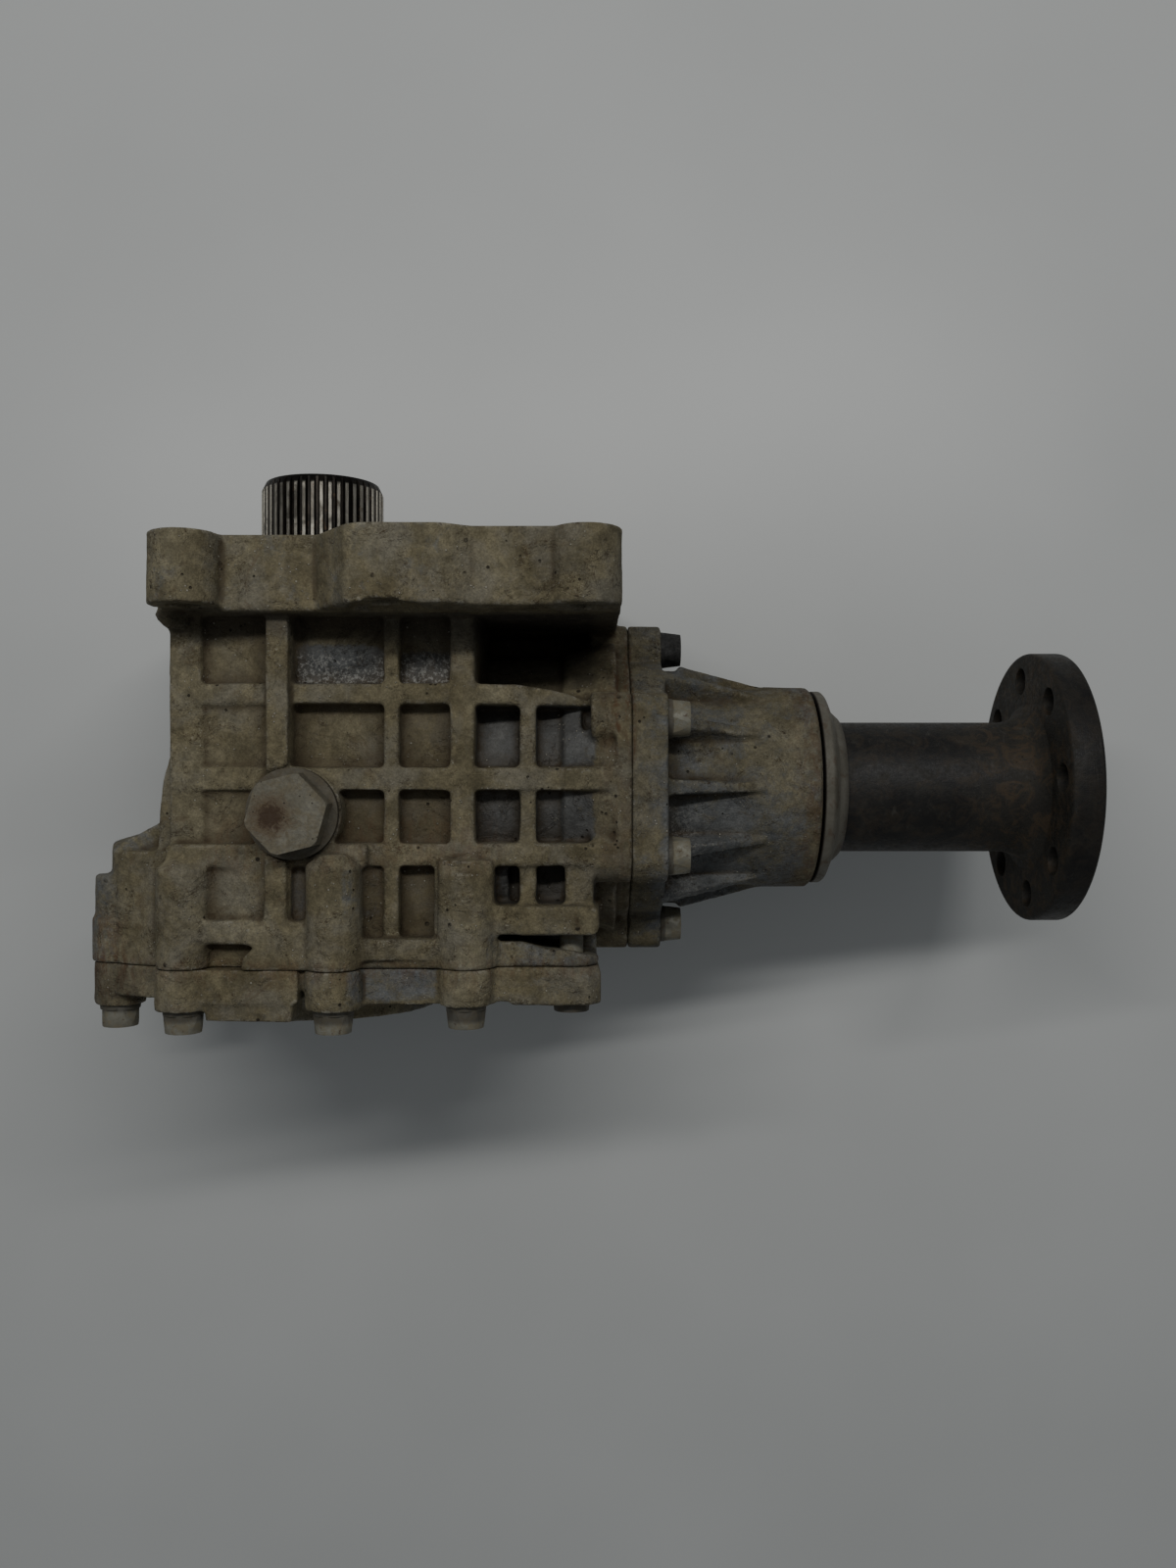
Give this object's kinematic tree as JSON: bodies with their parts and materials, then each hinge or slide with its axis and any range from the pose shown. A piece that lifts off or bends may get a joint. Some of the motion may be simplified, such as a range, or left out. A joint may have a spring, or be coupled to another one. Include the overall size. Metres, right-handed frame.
{
  "type": "angle gearbox",
  "caption": "Compact right-angle drive gearbox: ribbed cast housing, hollow splined input shaft, hypoid gears and a long tubular output flange.",
  "frame": {"origin": "on the input shaft's axis, at the height of the output shaft's axis", "axes": "+X along the output shaft towards its flange; +Y along the input shaft towards the mounting face and spline; +Z towards the ribbed side with the filler plug"},
  "size_m": [0.3652, 0.2017, 0.1826],
  "materials": {
    "cast_aluminium": "as-cast, dulled by dried road dust",
    "plated_steel": "dull zinc plating, dusty",
    "plug_steel": "grey steel, dusty, a rust bloom in the middle",
    "seal_metal": "plain washer steel",
    "shaft_steel": "hardened steel, oily, bright on the tooth flanks",
    "gear_steel": "ground and lapped, oil film",
    "bearing_steel": "ground bearing steel",
    "cage_steel": "pressed steel",
    "black_steel": "worn black coating with dust and light rust",
    "deflector_steel": "grey pressed steel, dusty",
    "seal_rubber": "oil seal rubber",
    "vent_steel": "yellow passivated steel, dusty"
  },
  "bodies": {
    "housing": {"transfer_case": "cast_aluminium", "side_cover": "cast_aluminium", "pinion_housing": "cast_aluminium", "side_cover_bolts": "plated_steel", "pinion_housing_bolts": "plated_steel", "cover_dowel_pins": "plated_steel", "filler_plug": "plug_steel", "filler_plug_gasket": "seal_metal", "drain_plug": "plug_steel", "drain_plug_gasket": "seal_metal", "breather": "vent_steel", "input_oil_seal": "seal_rubber", "driveshaft_oil_seal": "seal_rubber", "pinion_oil_seal": "seal_rubber", "pinion_housing_o_ring": "seal_rubber", "upper_bearing_cup": "bearing_steel", "lower_bearing_cup": "bearing_steel", "pinion_head_bearing_cup": "bearing_steel", "pinion_tail_bearing_cup": "bearing_steel"},
    "input_assembly": {"input_shaft": "shaft_steel", "ring_gear": "gear_steel", "ring_gear_bolts": "plated_steel", "upper_bearing_cone": "bearing_steel", "lower_bearing_cone": "bearing_steel"},
    "output_assembly": {"hypoid_pinion": "gear_steel", "pinion_shim": "seal_metal", "collapsible_spacer": "seal_metal", "output_flange": "black_steel", "dust_deflector": "deflector_steel", "pinion_nut_washer": "plated_steel", "pinion_nut": "plated_steel", "pinion_head_bearing_cone": "bearing_steel", "pinion_tail_bearing_cone": "bearing_steel"},
    "upper_roller_set": {"upper_bearing_rollers": "bearing_steel", "upper_bearing_cage": "cage_steel"},
    "lower_roller_set": {"lower_bearing_rollers": "bearing_steel", "lower_bearing_cage": "cage_steel"},
    "pinion_head_roller_set": {"pinion_head_bearing_rollers": "bearing_steel", "pinion_head_bearing_cage": "cage_steel"},
    "pinion_tail_roller_set": {"pinion_tail_bearing_rollers": "bearing_steel", "pinion_tail_bearing_cage": "cage_steel"}
  },
  "joints": [
    {"name": "input_shaft_spin", "type": "hinge", "parent": "housing", "child": "input_assembly", "pos_m": [0, 0, 0], "axis": [0, 1, 0], "continuous": true},
    {"name": "output_shaft_spin", "type": "hinge", "parent": "housing", "child": "output_assembly", "pos_m": [0.15, 0, 0.015], "axis": [1, 0, 0], "continuous": true},
    {"name": "upper_roller_spin", "type": "hinge", "parent": "housing", "child": "upper_roller_set", "pos_m": [0, 0.058, 0], "axis": [0, 1, 0], "continuous": true},
    {"name": "lower_roller_spin", "type": "hinge", "parent": "housing", "child": "lower_roller_set", "pos_m": [0, -0.068, 0], "axis": [0, 1, 0], "continuous": true},
    {"name": "pinion_head_roller_spin", "type": "hinge", "parent": "housing", "child": "pinion_head_roller_set", "pos_m": [0.08, 0, 0.015], "axis": [1, 0, 0], "continuous": true},
    {"name": "pinion_tail_roller_spin", "type": "hinge", "parent": "housing", "child": "pinion_tail_roller_set", "pos_m": [0.158, 0, 0.015], "axis": [1, 0, 0], "continuous": true}
  ],
  "couplings": [
    {"joint": "output_shaft_spin", "follows": "input_shaft_spin", "ratio": 2.4667},
    {"joint": "upper_roller_spin", "follows": "input_shaft_spin", "ratio": 0.4387},
    {"joint": "lower_roller_spin", "follows": "input_shaft_spin", "ratio": 0.4433},
    {"joint": "pinion_head_roller_spin", "follows": "input_shaft_spin", "ratio": 1.0308},
    {"joint": "pinion_tail_roller_spin", "follows": "input_shaft_spin", "ratio": 1.0296}
  ]
}
